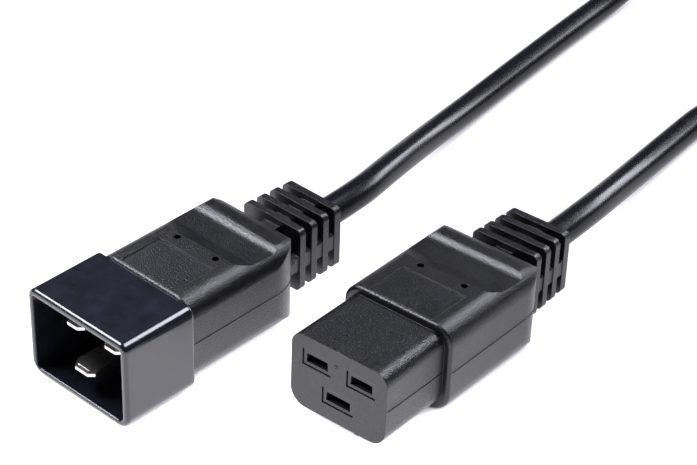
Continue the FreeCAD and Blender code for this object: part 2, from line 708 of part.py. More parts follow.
def coil_and_tie():
    ring = new_body("coil_ring")
    bundle = sketch_on(ring, "XZ_Plane")
    outline(bundle, bevelled("coil_radius", "coil_columns * cord_diameter / 2",
                             "coil_layers * cord_diameter / 2", "coil_bevel"))
    turns = ring.newObject("PartDesign::Revolution", "coil_turns")
    turns.Profile = bundle
    axis = next(item for item in ring.Origin.OriginFeatures if item.Role == "Z_Axis")
    turns.ReferenceAxis = (axis, [""])
    turns.Angle = 360
    doc.recompute()
    wound = combine("MultiFuse", "coil_wound", ring, stub(COIL_IN_ANGLE, "0.5", -1),
                    stub(COIL_OUT_ANGLE, "coil_layers - 0.5", 1))
    stack = "coil_layers * cord_diameter"
    inner_sizes = ("-1 * tie_bite", "tie_bite", stack + " - tie_bite")
    outer_sizes = ("tie_thickness - tie_bite", "0", stack + " + tie_thickness - tie_bite")
    bite = combine("Cut", "tie_bite_all_round",
                   tie_bar("bite_outside", "cord_diameter", "-1 * cord_diameter", stack + " + cord_diameter"),
                   tie_bar("bite_inside", *inner_sizes))
    coil = combine("Cut", "cord_coil", wound, bite)
    tie = combine("Cut", "coil_tie", tie_bar("tie_outside", *outer_sizes),
                  tie_bar("tie_inside", *inner_sizes))
    doc.recompute()
    for thing in (coil, tie):
        thing.Placement = FreeCAD.Placement(COIL_PLACE, FreeCAD.Rotation())
    return [coil, tie]


coil_pieces = coil_and_tie()


# ---------------------------------------------------------------- the free cord

def cord_tube(label, points):
    """Round cord along straight runs joined by the largest tangent arcs that the runs allow."""
    edges = []
    reached = points[0]
    for before, corner, after in zip(points, points[1:], points[2:]):
        back = before - corner
        ahead = after - corner
        reach = ARC_SHARE * min(back.Length, ahead.Length)
        half_turn = (math.pi - back.getAngle(ahead)) / 2
        radius = reach / math.tan(half_turn)
        begin = corner + back.normalize() * reach
        finish = corner + ahead.normalize() * reach
        middle = corner + (back + ahead).normalize() * (radius / math.cos(half_turn) - radius)
        print("%s: radius %.0f mm, turn %.0f degrees" % (label, radius, math.degrees(2 * half_turn)))
        edges.append(Part.LineSegment(reached, begin).toShape())
        edges.append(Part.Arc(begin, middle, finish).toShape())
        reached = finish
    edges.append(Part.LineSegment(reached, points[-1]).toShape())
    path = Part.Wire(edges)
    start = Part.Wire([Part.Circle(points[0], points[1] - points[0], value("cord_diameter / 2")).toShape()])
    tube = path.makePipeShell([start], True, False)
    volume = math.pi * value("cord_diameter / 2") ** 2 * path.Length
    share = tube.Volume / volume
    print("%s: length %.1f mm, volume %.4f of its section times length" % (label, path.Length, share))
    feature = doc.addObject("Part::Feature", label)
    feature.Label = label
    feature.Shape = tube
    return feature


def outside_coil(angle, level, way, further=0.0):
    """Where the free cord meets the coil's straight end, or a point further out along it."""
    foot, along = coil_end(angle, level, way)
    return COIL_PLACE + foot + along * (value("coil_lead") + further)


low = value("cord_diameter / 2")
C19_ROUTE = [
    C19_SEAT.multVec(FreeCAD.Vector(0, value("sheath_end"), 0)),
    C19_SEAT.multVec(FreeCAD.Vector(0, 94.0, 0)),
    FreeCAD.Vector(-6.8, 90.5, 5.2),
    FreeCAD.Vector(-9.6, 117.5, low),
    FreeCAD.Vector(-11.2, 143.0, low),
    outside_coil(COIL_IN_ANGLE, "0.5", -1, 20.0),
    outside_coil(COIL_IN_ANGLE, "0.5", -1),
]
C20_ROUTE = [
    C20_SEAT.multVec(FreeCAD.Vector(0, value("sheath_end"), 0)),
    C20_SEAT.multVec(FreeCAD.Vector(0, 92.0, 0)),
    FreeCAD.Vector(-52.2, 45.0, 11.2),
    FreeCAD.Vector(-59.0, 70.0, 6.2),
    FreeCAD.Vector(-63.1, 95.0, low),
    FreeCAD.Vector(-65.6, 120.0, low),
    FreeCAD.Vector(-68.4, 150.0, low),
    FreeCAD.Vector(-70.9, 182.0, low),
    outside_coil(COIL_OUT_ANGLE, "coil_layers - 0.5", 1, 24.0),
    outside_coil(COIL_OUT_ANGLE, "coil_layers - 0.5", 1),
]
cord_pieces = [cord_tube("cord_c19_run", C19_ROUTE), cord_tube("cord_c20_run", C20_ROUTE)]


# ---------------------------------------------------------------- checks and export

doc.recompute()
failed = [thing.Label for thing in doc.Objects if "Invalid" in thing.State or "Error" in thing.State]
if failed:
    raise ValueError("failed: %s" % ", ".join(failed))
pieces = c19_pieces + c20_pieces + coil_pieces + cord_pieces
for piece in pieces:
    if piece.Shape.isNull() or not piece.Shape.isValid() or len(piece.Shape.Solids) != 1:
        raise ValueError("%s has %d solids" % (piece.Label, len(piece.Shape.Solids)))
os.makedirs("parts", exist_ok=True)
for piece in pieces:
    piece.Shape.exportStep("parts/%s.step" % piece.Label)
    box = piece.Shape.BoundBox
    print("%-22s %9.1f mm3  x %.1f..%.1f  y %.1f..%.1f  z %.2f..%.2f" % (
        piece.Label, piece.Shape.Volume, box.XMin, box.XMax, box.YMin, box.YMax, box.ZMin, box.ZMax))
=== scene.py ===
# %% [markdown]
# # A C19 to C20 mains lead
# This lesson dresses a finished CAD model of a mains lead for data-centre power: a C19
# connector, a C20 plug and the cord between them. The CAD model fixes every size and place.
# Blender adds the cord's real curve, the finish of every surface and the fine detail that a
# moulding tool leaves behind.

# %% Load the frame
import math

import bmesh
import bpy
from mathutils import Euler, Matrix, Vector


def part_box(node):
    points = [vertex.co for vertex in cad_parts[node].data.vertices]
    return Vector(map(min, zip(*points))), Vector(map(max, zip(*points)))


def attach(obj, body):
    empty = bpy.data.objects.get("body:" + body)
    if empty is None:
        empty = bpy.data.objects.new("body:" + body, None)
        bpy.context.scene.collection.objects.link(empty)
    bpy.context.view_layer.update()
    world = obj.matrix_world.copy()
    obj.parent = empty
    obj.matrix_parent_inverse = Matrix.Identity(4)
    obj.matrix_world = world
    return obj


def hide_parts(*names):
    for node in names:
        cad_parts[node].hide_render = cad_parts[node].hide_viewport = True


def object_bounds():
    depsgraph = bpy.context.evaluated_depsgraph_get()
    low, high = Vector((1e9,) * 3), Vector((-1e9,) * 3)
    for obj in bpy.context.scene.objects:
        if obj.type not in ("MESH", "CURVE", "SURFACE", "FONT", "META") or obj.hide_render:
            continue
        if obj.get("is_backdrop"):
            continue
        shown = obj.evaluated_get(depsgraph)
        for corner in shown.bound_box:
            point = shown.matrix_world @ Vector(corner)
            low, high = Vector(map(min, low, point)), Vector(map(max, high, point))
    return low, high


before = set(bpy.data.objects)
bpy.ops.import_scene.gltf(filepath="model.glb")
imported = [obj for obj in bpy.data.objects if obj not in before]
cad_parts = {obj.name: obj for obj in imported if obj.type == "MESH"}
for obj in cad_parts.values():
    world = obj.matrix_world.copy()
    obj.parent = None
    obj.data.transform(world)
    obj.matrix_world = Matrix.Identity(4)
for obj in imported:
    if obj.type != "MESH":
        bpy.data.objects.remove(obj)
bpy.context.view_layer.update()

print("pieces of the lead:", len(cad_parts))

# %% [markdown]
# ## Millimetres, and a place for each connector
# Blender works in metres here, and a mould maker in millimetres. One short name for a
# millimetre keeps the sizes readable. Each connector also gets a place of its own, with its
# mating face at y = 0 and the cord's axis along +Y, so that details can be given the way they
# stand in a mould drawing. They could be given in the scene's own numbers instead, but then
# the slant of the plug would hide in every one of them.

# %% Units and the two connectors
MM = 0.001
CORD_DIAMETER = 7.8 * MM
CORD_RADIUS = CORD_DIAMETER / 2
# the cord's axis runs this far below the middle of a body
CORD_DROP = 0.4 * MM

c19_low, c19_high = [Vector(corner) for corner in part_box("c19_overmould")]
c19_length = c19_high.y - c19_low.y
c19_axis_height = (c19_low.z + c19_high.z) / 2 - CORD_DROP
C19_PLACE = Matrix.Translation((0, c19_low.y, c19_axis_height))
# the plug lies a little askew beside the connector
C20_FRONT = Vector((-51.78, -71.76, 12.24)) * MM
C20_LEAN = Euler((math.radians(1.52), math.radians(0.67), math.radians(-3.53)), "XYZ")
C20_PLACE = Matrix.Translation(C20_FRONT) @ C20_LEAN.to_matrix().to_4x4()
print("C19 is %.1f mm long, its axis %.1f mm up" % (c19_length / MM, c19_axis_height / MM))

# %% [markdown]
# ## The camera
# A long lens from about half a metre looks down on the two mating faces. A short lens from
# close by would show them too, but it would swell the corners that are nearest. A camera can
# be dragged into place by eye. Here its place is worked out from what it looks at, how far off
# it is, how far round, how high, and how much it rolls, because each of these can then be put
# right on its own.

# %% Camera
FOCUS = Vector((-18.2, -15.3, 34.6)) * MM
DISTANCE = 522.6 * MM
ROUND_ANGLE = math.radians(37.97)
HEIGHT_ANGLE = math.radians(33.08)
ROLL_ANGLE = math.radians(2.40)
LENS_MM = 115.4
SENSOR_MM = 36.0
NEAREST_SEEN = 10.0 * MM


def camera_place(focus, distance, round_angle, height_angle, roll_angle):
    """World matrix of a camera that looks at the focus."""
    back = Vector((math.cos(height_angle) * math.sin(round_angle),
                   -math.cos(height_angle) * math.cos(round_angle), math.sin(height_angle)))
    turn = back.to_track_quat("Z", "Y").to_matrix().to_4x4()
    roll = Matrix.Rotation(roll_angle, 4, "Z")
    return Matrix.Translation(focus + back * distance) @ turn @ roll


camera_data = bpy.data.cameras.new("camera")
camera_data.lens = LENS_MM
camera_data.sensor_width = SENSOR_MM
camera_data.clip_start = NEAREST_SEEN
camera = bpy.data.objects.new("camera", camera_data)
camera.matrix_world = camera_place(FOCUS, DISTANCE, ROUND_ANGLE, HEIGHT_ANGLE, ROLL_ANGLE)
bpy.context.scene.collection.objects.link(camera)
bpy.context.scene.camera = camera
print("camera at", [round(value / MM) for value in camera.matrix_world.translation])

# %% [markdown]
# ## The cord
# A lead of this kind is about two metres long. The stretch near the connectors lies loose, and
# the rest is wound into a small coil held by a tie, the way it comes out of its bag. A cord
# could be a mesh swept by hand, but a curve with a round bevel keeps its true length and stays
# editable. One NURBS curve follows the whole way. A NURBS curve of order three rounds every
# corner of its control points smoothly, as a stiff cord does.

# %% Where the coil lies
COIL_CENTRE = Vector((-0.3, 234.8, 0)) * MM
COIL_RADIUS = 42.0 * MM
COLUMNS = 3
LAYERS = 2
OUTER_RADIUS = COIL_RADIUS + CORD_DIAMETER * (COLUMNS - 1) / 2
LOWER = CORD_RADIUS
UPPER = CORD_RADIUS + CORD_DIAMETER * (LAYERS - 1)
# the cord runs straight for this long before it joins the outer turn
LEAD = 28.0 * MM


def on_coil(angle, radius, height):
    """Point on a turn of the coil, at an angle in degrees."""
    turn = math.radians(angle)
    return COIL_CENTRE + Vector((radius * math.cos(turn), radius * math.sin(turn), height))


def off_coil(angle, height, way, further=0.0):
    """Point on the straight cord that joins the outer turn, beyond its lead by some more."""
    turn = math.radians(angle)
    along = Vector((-math.sin(turn), math.cos(turn), 0)) * way
    return on_coil(angle, OUTER_RADIUS, height) + along * (LEAD + further)


print("coil: %.1f mm across at the middle of its turns" % (2 * COIL_RADIUS / MM))

# %% The loose stretch from the C19
# the cord starts inside the body, this far behind the mating face, and leaves it straight
CORD_START = 57.0 * MM
ENTRY_ANGLE = -45.0

c19_route = [
    C19_PLACE @ Vector((0, CORD_START, 0)),
    C19_PLACE @ Vector((0, 94.0 * MM, 0)),
    Vector((-6.8, 90.5, 5.2)) * MM,
    Vector((-9.6, 117.5, 3.9)) * MM,
    Vector((-11.2, 143.0, 3.9)) * MM,
    off_coil(ENTRY_ANGLE, LOWER, -1, 20.0 * MM),
    off_coil(ENTRY_ANGLE, LOWER, -1),
]
print("C19 side:", len(c19_route), "points")

# %% The loose stretch from the C20
EXIT_ANGLE = 150.0

c20_route = [
    C20_PLACE @ Vector((0, CORD_START, 0)),
    C20_PLACE @ Vector((0, 92.0 * MM, 0)),
    Vector((-52.2, 45.0, 11.2)) * MM,
    Vector((-59.0, 70.0, 6.2)) * MM,
    Vector((-63.1, 95.0, 3.9)) * MM,
    Vector((-65.6, 120.0, 3.9)) * MM,
    Vector((-68.4, 150.0, 3.9)) * MM,
    Vector((-70.9, 182.0, 3.9)) * MM,
    off_coil(EXIT_ANGLE, UPPER, 1, 24.0 * MM),
    off_coil(EXIT_ANGLE, UPPER, 1),
]
print("C20 side:", len(c20_route), "points")

# %% [markdown]
# ## The coil
# The turns lie in two layers of three. The cord comes in on the outermost lower turn, works
# inwards, climbs to the upper layer at the innermost turn and works outwards again. Each step
# from one column to the next takes a third of a turn, always on the same side of the coil, so
# the turns stay side by side. Where the tie goes round, the turns ride up by its thickness.
# The points could be set down one by one. A small rule for radius and height does it here,
# since it keeps every turn exactly one cord away from the next.

# %% How the turns step and climb
# all angles are in degrees, most of them counted from where the cord joins the coil
STEP = 20.0
WHOLE_TURNS = 5
TURNING = EXIT_ANGLE - ENTRY_ANGLE + WHOLE_TURNS * 360.0
STEP_IN = 240.0
STEP_LENGTH = 120.0
CLIMB_START = 930.0
CLIMB_LENGTH = 110.0
TIE_ANGLE = 20.0
TIE_WIDTH = 4.8 * MM
TIE_THICKNESS = 0.9 * MM
# how far from the tie the turns start to rise, and over what angle they do so
RISE_START = 64.0
RISE_LENGTH = 36.0


def ease(value):
    """Smooth step from nought to one."""
    value = min(max(value, 0.0), 1.0)
    return value * value * (3 - 2 * value)


def lift_over_tie(turned):
    """How far a turn rides up near the tie."""
    away = abs((turned + ENTRY_ANGLE - TIE_ANGLE + 180.0) % 360.0 - 180.0)
    return TIE_THICKNESS * ease((RISE_START - away) / RISE_LENGTH)


def columns_crossed(turned, steps):
    """How many of the given steps from column to column lie behind."""
    return sum([ease((turned - STEP_IN - 360.0 * step) / STEP_LENGTH) for step in steps])


print("the cord turns by %.0f degrees on the coil" % TURNING)


# %% The turns of the coil
def coil_point(turned):
    """Point on the coil after so many degrees of turning."""
    inwards = columns_crossed(turned, range(COLUMNS - 1))
    outwards = columns_crossed(turned, range(COLUMNS, WHOLE_TURNS))
    climb = ease((turned - CLIMB_START) / CLIMB_LENGTH)
    radius = OUTER_RADIUS - CORD_DIAMETER * (inwards - outwards)
    # control points stand a little outside the circle that the smooth curve then follows
    radius /= math.cos(math.radians(STEP / 2))
    height = LOWER + (UPPER - LOWER) * climb + lift_over_tie(turned)
    return on_coil(ENTRY_ANGLE + turned, radius, height)


coil_turns = [coil_point(STEP * number) for number in range(int(TURNING / STEP) + 1)]
print("coil: %.1f turns, %d points" % (TURNING / 360.0, len(coil_turns)))

# %% [markdown]
# ## One curve for the whole cord
# Every control point carries the cord's own radius and the bevel is one metre deep, so the two
# multiply to the cord's radius and Blender's bounding box of the curve stays close to it. A
# copy of the curve without its bevel turns into a bare line of points along its middle, but
# the length isn't added up here. It could be read off the route, but the smooth curve cuts the
# route's corners and is shorter than that.


# %% The curve
def nurbs_line(name, points):
    """Open NURBS curve of order three through the neighbourhood of its control points."""
    data = bpy.data.curves.new(name, "CURVE")
    data.dimensions = "3D"
    data.resolution_u = 8
    spline = data.splines.new("NURBS")
    spline.points.add(len(points) - 1)
    for control, place in zip(spline.points, points):
        control.co = (*place, 1.0)
        control.radius = CORD_RADIUS
    spline.order_u = 3
    spline.use_endpoint_u = True
    piece = bpy.data.objects.new(name, data)
    bpy.context.scene.collection.objects.link(piece)
    return piece


cord = nurbs_line("cord", c19_route + coil_turns + c20_route[::-1])
cord.data.bevel_depth = 1.0
cord.data.bevel_resolution = 7
cord.data.use_fill_caps = True
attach(cord, "root")
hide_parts("cord_c19_run", "cord_coil", "cord_c20_run")
print("one curve of", len(cord.data.splines[0].points), "points")

# %% The bare middle line
bare_line = cord.data.copy()
bare_line.bevel_depth = 0
probe = bpy.data.objects.new("probe", bare_line)
middle = [vertex.co.copy() for vertex in bpy.data.meshes.new_from_object(probe).vertices]
bpy.data.objects.remove(probe)

# %% [markdown]
# ## The tie round the coil
# The bundle is held by a trimmed nylon cable tie: a flat band that hugs three turns by two, and
# a head with the cut end of the band standing in it. The band could be a ribbon swept along a
# curve. Here it is a closed ring of four-cornered sections, which gives it its real thickness,
# and a small bevel takes the sharpness off its edges.


# %% Outlines and rings
def rounded_outline(half_width, half_height, corner, steps=7):
    """Points round a rectangle with round corners, in order."""
    points = []
    for quarter in range(4):
        side = 1 if quarter in (0, 3) else -1
        level = 1 if quarter in (0, 1) else -1
        for step in range(steps + 1):
            turn = math.radians(90.0 * quarter + 90.0 * step / steps)
            points.append((side * (half_width - corner) + corner * math.cos(turn),
                           level * (half_height - corner) + corner * math.sin(turn)))
    return points


def ring_faces(sections, corners, closed=True):
    """Faces that join a row of sections, each with the same number of corners."""
    faces = []
    for number in range(sections if closed else sections - 1):
        after = (number + 1) % sections
        for corner in range(corners):
            beside = (corner + 1) % corners
            faces.append((number * corners + corner, number * corners + beside,
                          after * corners + beside, after * corners + corner))
    return faces


bundle_width = CORD_DIAMETER / MM * COLUMNS
bundle_height = CORD_DIAMETER / MM * LAYERS
print("the tie holds a bundle of %.1f x %.1f mm" % (bundle_width, bundle_height))


# %% The band
def new_piece(name, vertices, faces, place):
    """Mesh piece from points in millimetres, set down by a place and riding on the lead."""
    data = bpy.data.meshes.new(name)
    data.from_pydata([place @ (Vector(vertex) * MM) for vertex in vertices], [], faces)
    data.validate()
    piece = bpy.data.objects.new(name, data)
    bpy.context.scene.collection.objects.link(piece)
    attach(piece, "root")
    return piece


tie_mm = TIE_THICKNESS / MM
corner_mm = CORD_DIAMETER / MM / 2
half_band = TIE_WIDTH / MM / 2
tie_middle = (COIL_RADIUS, 0, TIE_THICKNESS + bundle_height * MM / 2)
TIE_PLACE = (Matrix.Translation(COIL_CENTRE) @ Matrix.Rotation(math.radians(TIE_ANGLE), 4, "Z")
             @ Matrix.Translation(tie_middle))
inside = rounded_outline(bundle_width / 2, bundle_height / 2, corner_mm)
outside = rounded_outline(bundle_width / 2 + tie_mm, bundle_height / 2 + tie_mm,
                          corner_mm + tie_mm)
band_points = []
for near, far in zip(inside, outside):
    band_points += [(near[0], -half_band, near[1]), (near[0], half_band, near[1]),
                    (far[0], half_band, far[1]), (far[0], -half_band, far[1])]
band = new_piece("tie_band", band_points, ring_faces(len(inside), 4), TIE_PLACE)
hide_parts("coil_tie")
print("tie: band %.1f mm wide, %d faces" % (2 * half_band, len(band.data.polygons)))


# %% Its rounded edges
def bevel_edges(piece, width, segments=2):
    """Round the sharp edges of a piece, by a width in millimetres, and shade it smooth."""
    rounding = piece.modifiers.new("rounded_edges", "BEVEL")
    rounding.width = width * MM
    rounding.segments = segments
    rounding.limit_method = "ANGLE"
    rounding.harden_normals = True
    piece.data.shade_smooth()


bevel_edges(band, width=0.2)
print("band edges rounded by %.1f mm" % (band.modifiers["rounded_edges"].width / MM))

# %% The head and the cut end
HEAD_SIZE = (5.2, 6.8, 4.2)
HEAD_MIDDLE_ABOVE_BAND = 2.0
MOUTH_RIM = 0.9 * MM
MOUTH_DEPTH = 1.2 * MM
CUT_END_SIZE = (1.3, 4.4, 4.4)
CUT_END_MIDDLE_ABOVE_BAND = 2.6


def block(middle, size):
    """Corners and faces of a block, to be rounded or hollowed afterwards."""
    corners = [tuple(centre + sign * full / 2 for centre, sign, full in zip(middle, signs, size))
               for signs in ((-1, -1, -1), (1, -1, -1), (1, 1, -1), (-1, 1, -1),
                             (-1, -1, 1), (1, -1, 1), (1, 1, 1), (-1, 1, 1))]
    faces = [(3, 2, 1, 0), (4, 5, 6, 7), (0, 1, 5, 4), (1, 2, 6, 5), (2, 3, 7, 6), (3, 0, 4, 7)]
    return corners, faces


band_top = bundle_height / 2 + tie_mm
head_corners, head_faces = block((0, 0, band_top + HEAD_MIDDLE_ABOVE_BAND), HEAD_SIZE)
head = new_piece("tie_head", head_corners, head_faces, TIE_PLACE)
# the top face is inset and pressed in, which leaves the mouth that the band was pulled through
shaped = bmesh.new()
shaped.from_mesh(head.data)
shaped.faces.ensure_lookup_table()
mouth = max(shaped.faces, key=lambda face: face.calc_center_median().z)
bmesh.ops.inset_region(shaped, faces=[mouth], thickness=MOUTH_RIM)
for corner in mouth.verts:
    corner.co.z -= MOUTH_DEPTH
shaped.to_mesh(head.data)
shaped.free()
bevel_edges(head, width=0.45, segments=3)
stub_corners, stub_faces = block((0, 0, band_top + CUT_END_MIDDLE_ABOVE_BAND), CUT_END_SIZE)
stub = new_piece("tie_cut_end", stub_corners, stub_faces, TIE_PLACE)
bevel_edges(stub, width=0.15)
print("tie: head %.1f x %.1f mm" % HEAD_SIZE[:2])

# %% [markdown]
# ## Saying what the cord is
# The curve rides on the lead's root body, like the tie and every piece made here. The frame
# isn't told here that it is a free cord, where it leaves the C19, how long and thick it is, or
# that the tie and the whole C20 plug go with it.

# %% [markdown]
# ## Spouts of the contact carrier
# The carrier of hard plastic reaches the mating face in three spouts, one round each slot. When
# the soft PVC is moulded round them, it stands a little proud and shrinks away from their
# sides, so each spout shows as a small sunk frame with a dark seam. A dark line in the material
# could stand for the seam, but real depth catches the light from every side. The CAD carrier
# ends flush, so a copy of its mesh stands in for it, with the spouts' ends set back and drawn in.

# %% Sunk spouts
# each slot's middle across, its middle up from the cord's axis, and its width, in millimetres
SLOTS = [(-6.5, 4.2, 6.35), (6.5, 4.2, 6.35), (0.0, -3.8, 7.15)]
SLOT_HEIGHT = 2.5
HALF_SPOUT_WALL = 0.3
SPOUT_STEP = 0.30
SEAM = 0.14
AT_THE_FACE = 0.01


def drawn_in(point):
    """A corner of a spout's end: set back, and drawn in if it lies on the spout's outside."""
    middle_x, middle_z, width = min(
        SLOTS, key=lambda slot: math.hypot(point.x - slot[0], point.z - slot[1]))
    across, up = point.x - middle_x, point.z - middle_z
    beyond_side = abs(across) > width / 2 + HALF_SPOUT_WALL
    beyond_top = abs(up) > SLOT_HEIGHT / 2 + HALF_SPOUT_WALL
    if beyond_side or beyond_top:
        across -= math.copysign(SEAM, across)
        up -= math.copysign(SEAM, up)
    return Vector((middle_x + across, point.y + SPOUT_STEP, middle_z + up))


carrier_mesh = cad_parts["c19_contact_carrier"].data.copy()
to_mould = C19_PLACE.inverted()
set_back = 0
for vertex in carrier_mesh.vertices:
    local = (to_mould @ vertex.co) / MM
    if local.y < AT_THE_FACE:
        vertex.co = C19_PLACE @ (drawn_in(local) * MM)
        set_back += 1
carrier = bpy.data.objects.new("c19_carrier_with_sunk_spouts", carrier_mesh)
bpy.context.scene.collection.objects.link(carrier)
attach(carrier, "root")
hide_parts("c19_contact_carrier")
print("corners of the spouts set back:", set_back)

# %% [markdown]
# ## Marks of the moulding tool
# Where the two halves of a tool meet, a hair of PVC creeps into the joint and stays on the part
# as flash. Real flash is about 0.1 mm wide, too fine to show from half a metre, so it is drawn
# at 0.6 mm. Bump in the material could draw such a line, but a mesh also shows where the line
# meets the body's outline. A ridge of three-cornered sections follows the body at half its
# height.

# %% Flash along the parting line
FLASH_WIDTH = 0.60
FLASH_HEIGHT = 0.17
# the foot of a ridge is sunk into the body by this much, so that no gap shows under it
FLASH_ROOT = 0.04
PARTING = CORD_DROP / MM
pvc_details = []


def ridge(name, place, line):
    """Fine ridge along a line of plan points, standing out to the right of its way."""
    points = []
    for number, here in enumerate(line):
        before, after = line[max(number - 1, 0)], line[min(number + 1, len(line) - 1)]
        way = (Vector(after) - Vector(before)).normalized()
        out = Vector((way.y, -way.x))
        # the ends run out to nothing, as flash does
        proud = FLASH_HEIGHT if 0 < number < len(line) - 1 else 0.0
        section = ((FLASH_WIDTH / 2, -FLASH_ROOT), (0.0, proud), (-FLASH_WIDTH / 2, -FLASH_ROOT))
        for rise, reach in section:
            points.append((here[0] + out.x * reach, here[1] + out.y * reach, PARTING + rise))
    return new_piece(name, points, ring_faces(len(line), 3, closed=False), place)


print("flash: %.2f mm wide, %.2f mm high" % (FLASH_WIDTH, FLASH_HEIGHT))

# %% Where the flash runs
NOSE_LENGTH = 21.1
NOSE_HALF_WIDTH = 14.0
BODY_REAR = 60.9
C19_HALF_WIDTH = 15.9
C19_REAR_CORNER = 9.0
C20_HALF_WIDTH = 15.6
C20_REAR_CORNER = 10.8
CORNER_STEPS = 8
# each end of a ridge runs out to nothing over this length
RUN_OUT = 1.0


def body_side(half_width, front, corner):
    """Plan of one side of a body, from its front to the relief, with the round rear corner."""
    line = [(half_width, front), (half_width, front + RUN_OUT), (half_width, BODY_REAR - corner)]
    for step in range(1, CORNER_STEPS + 1):
        turn = math.radians(90.0 * step / CORNER_STEPS)
        line.append((half_width - corner + corner * math.cos(turn),
                     BODY_REAR - corner + corner * math.sin(turn)))
    return line + [(half_width - corner - RUN_OUT, BODY_REAR)]


def mirrored(line):
    """The same line on the left-hand side, run the other way."""
    return [(-x, y) for x, y in line[::-1]]


c19_side = body_side(C19_HALF_WIDTH, NOSE_LENGTH + 0.7, C19_REAR_CORNER)
c20_side = body_side(C20_HALF_WIDTH, NOSE_LENGTH + 0.5, C20_REAR_CORNER)
nose_side = [(NOSE_HALF_WIDTH, y) for y in (0.2, 1.4, NOSE_LENGTH - 1.0, NOSE_LENGTH - 0.1)]
for name, place, side in (("c19_body_flash", C19_PLACE, c19_side),
                          ("c19_nose_flash", C19_PLACE, nose_side),
                          ("c20_body_flash", C20_PLACE, c20_side)):
    for hand, line in (("right", side), ("left", mirrored(side))):
        pvc_details.append(ridge(name + "_" + hand, place, line))
print("ridges:", len(pvc_details), "at %.1f mm above the cord's axis" % PARTING)

# %% [markdown]
# ## Border of the marking field
# On a real lead the sunk field on top carries the maker's markings. This one is left bare, with
# the fine raised border that an engraving tool leaves round such a field. The border could be
# cut into the CAD model, but it is thin trim, and a bead of four sections is easily laid over
# the flat top.

# %% Raised border of the bare field
FIELD_WIDTH = 18.0
FIELD_LENGTH = 12.4
FIELD_FRONT = NOSE_LENGTH + 1.3
BODY_HEIGHT = 24.0
BODY_TOP = BODY_HEIGHT / 2 + PARTING
# the bead's corners: how far out from the field's edge, and how far above the top
BEAD = ((0.0, -0.1), (0.45, -0.1), (0.36, 0.14), (0.09, 0.14))


def field_border(name, place):
    """Bead round the field, with a sunk foot, sloping sides and a mitre at each corner."""
    half, front, rear = FIELD_WIDTH / 2, FIELD_FRONT, FIELD_FRONT + FIELD_LENGTH
    field_corners = ((-half, front, -1, -1), (half, front, 1, -1),
                     (half, rear, 1, 1), (-half, rear, -1, 1))
    points = [(x + side * out, y + way * out, BODY_TOP + rise)
              for x, y, side, way in field_corners for out, rise in BEAD]
    return new_piece(name, points, ring_faces(len(field_corners), len(BEAD)), place)


pvc_details.append(field_border("c19_field_border", C19_PLACE))
pvc_details.append(field_border("c20_field_border", C20_PLACE))
print("bare field %.1f x %.1f mm" % (FIELD_WIDTH, FIELD_LENGTH))

# %% [markdown]
# ## Gate marks
# PVC enters the tool through small gates, and each leaves a scar when it is broken off: a low
# crater on the mating face between line and neutral, and a nub under its lower edge. The
# crater is round, so a profile is turned about its axis. The nub could be made that way too,
# but it was torn off and isn't round, so it is a small block with well rounded edges.


# %% Crater and nub
def spun(name, profile, place, sides=20):
    """Round piece from a profile of (radius, height), turned about the place's Z axis."""
    turns = [2 * math.pi * side / sides for side in range(sides)]
    points = [(radius * math.cos(turn), radius * math.sin(turn), height)
              for turn in turns for radius, height in profile]
    # a profile is open, so the faces that would join its last point to its first are left out
    faces = [face for face in ring_faces(sides, len(profile))
             if abs(face[0] % len(profile) - face[1] % len(profile)) == 1]
    return new_piece(name, points, faces, place)


CRATER_MIDDLE = Vector((-0.8, 0, 6.0)) * MM
CRATER_PROFILE = [(0.75, -0.05), (0.5, 0.14), (0.38, 0.12), (0.12, 0.01), (0.0, 0.01)]
NUB_MIDDLE = (5.6, 0.9, -9.75)
NUB_SIZE = (1.5, 1.6, 0.9)
facing_out = Matrix.Rotation(math.radians(90), 4, "X")
crater_place = C19_PLACE @ Matrix.Translation(CRATER_MIDDLE) @ facing_out
crater = spun("c19_gate_crater", CRATER_PROFILE, crater_place)
nub_corners, nub_faces = block(NUB_MIDDLE, NUB_SIZE)
nub = new_piece("c19_gate_nub", nub_corners, nub_faces, C19_PLACE)
bevel_edges(nub, width=0.3, segments=3)
pvc_details += [crater, nub]
print("gate marks: 2, details of soft PVC in all:", len(pvc_details))

# %% [markdown]
# ## Colours and nodes
# A hex colour is what a colour picker on a finished product gives. The shader wants linear
# light, so one function turns the first into the second. Nodes could be added by hand in the
# shader editor, but a script gives the same material each time, so one more function adds a
# node with its settings and links.


# %% Colours
def linear(hex_colour):
    """sRGB hex colour as linear RGBA."""
    parts = [int(hex_colour[start:start + 2], 16) / 255 for start in (1, 3, 5)]
    light = [part / 12.92 if part <= 0.04045 else ((part + 0.055) / 1.055) ** 2.4 for part in parts]
    return (*light, 1.0)


print("soft black PVC reads as", [round(part, 4) for part in linear("#1b1c20")[:3]])


# %% Nodes and materials
def add_node(material, kind, settings=None, links=None):
    """New shader node. Settings name its properties or inputs, links feed its inputs."""
    tree = material.node_tree
    node = tree.nodes.new(kind)
    for name, value in (settings or {}).items():
        if name == "color_ramp":
            # a ramp's stops are given as (position, hex colour)
            for stop, (position, hex_colour) in zip(node.color_ramp.elements, value):
                stop.position = position
                stop.color = linear(hex_colour)
        elif isinstance(name, str) and hasattr(node, name):
            setattr(node, name, value)
        else:
            node.inputs[name].default_value = value
    for name, source in (links or {}).items():
        tree.links.new(source, node.inputs[name])
    return node


def new_material(name, **sockets):
    """Material with its Principled shader and plain socket values."""
    material = bpy.data.materials.new(name)
    material.use_nodes = True
    shader = material.node_tree.nodes["Principled BSDF"]
    for socket, value in sockets.items():
        shader.inputs[socket.replace("_", " ")].default_value = value
    return material, shader


def feed(material, shader, **sources):
    """Link node outputs to the shader's sockets."""
    for socket, source in sources.items():
        material.node_tree.links.new(source, shader.inputs[socket.replace("_", " ")])


